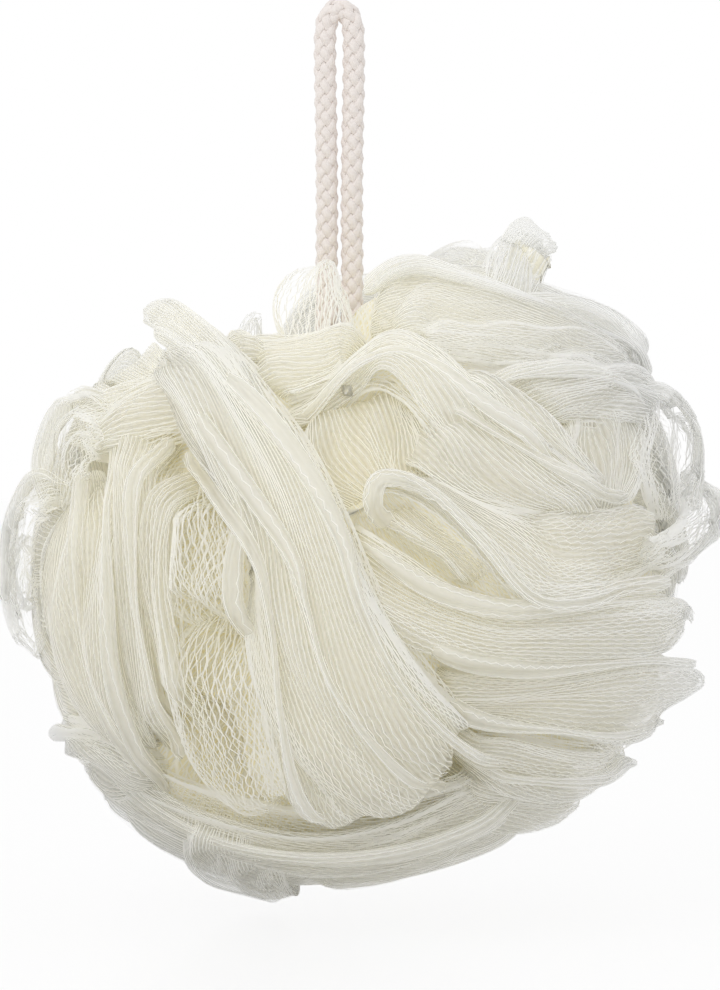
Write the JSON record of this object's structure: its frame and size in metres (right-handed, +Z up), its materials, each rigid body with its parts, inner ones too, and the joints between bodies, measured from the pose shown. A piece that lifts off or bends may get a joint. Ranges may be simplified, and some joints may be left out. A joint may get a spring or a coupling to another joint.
{
  "type": "mesh bath pouf",
  "caption": "Round bath pouf of fine plastic netting gathered into deep folds, with a braided cord loop rising from its tied waist for hanging.",
  "frame": {"origin": "the point inside the top of the hanging loop where a hook holds it", "axes": "+Z up, from the hook away from the hanging ball; the side that shows the folds' front pole looks along -Y; +X to the right as seen from that side"},
  "size_m": [0.1392, 0.1319, 0.1768],
  "materials": {
    "netting": "cream white extruded plastic netting, soft sheen",
    "cord": "round braided cord, warm off-white"
  },
  "bodies": {
    "root": {"mesh_netting": "netting", "hanging_cord": "cord", "cord_knot": "cord", "waist_turn": "cord"}
  },
  "joints": []
}
